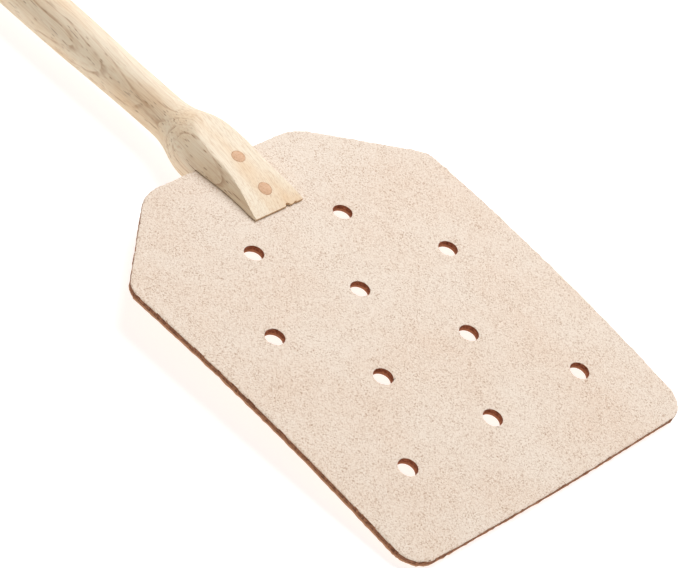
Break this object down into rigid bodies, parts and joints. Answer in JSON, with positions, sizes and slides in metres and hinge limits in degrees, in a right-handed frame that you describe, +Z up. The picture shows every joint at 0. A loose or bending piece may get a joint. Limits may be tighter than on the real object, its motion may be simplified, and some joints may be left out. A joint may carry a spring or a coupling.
{
  "type": "fly swatter",
  "caption": "Hand fly swatter: turned wooden handle whose split wedge head grips a flexible, punched leather blade, pinned by wooden dowels.",
  "frame": {"origin": "middle of the bounding box's footprint, at the level of the surface that the swatter lies on", "axes": "+X along the handle from the butt to the blade's free edge, +Y across the blade, +Z up with the leather's suede side on top"},
  "size_m": [0.44, 0.1148, 0.0192],
  "materials": {
    "beech": "turned and sanded, unfinished",
    "dowel_beech": "end grain, sanded flush",
    "leather": "natural vegetable tanned, suede on top and smooth grain below"
  },
  "bodies": {
    "handle": {"beech_handle": "beech", "front_dowel": "dowel_beech", "rear_dowel": "dowel_beech", "leather_root": "leather"},
    "blade": {"leather_blade": "leather"}
  },
  "joints": [
    {"name": "blade_flex", "type": "hinge", "parent": "handle", "child": "blade", "pos_m": [0.1153, 0, 0.0096], "axis": [0, 1, 0], "range_deg": [-30, 30], "stiffness_Nm_per_rad": 0.2, "springref_deg": -3.44}
  ]
}
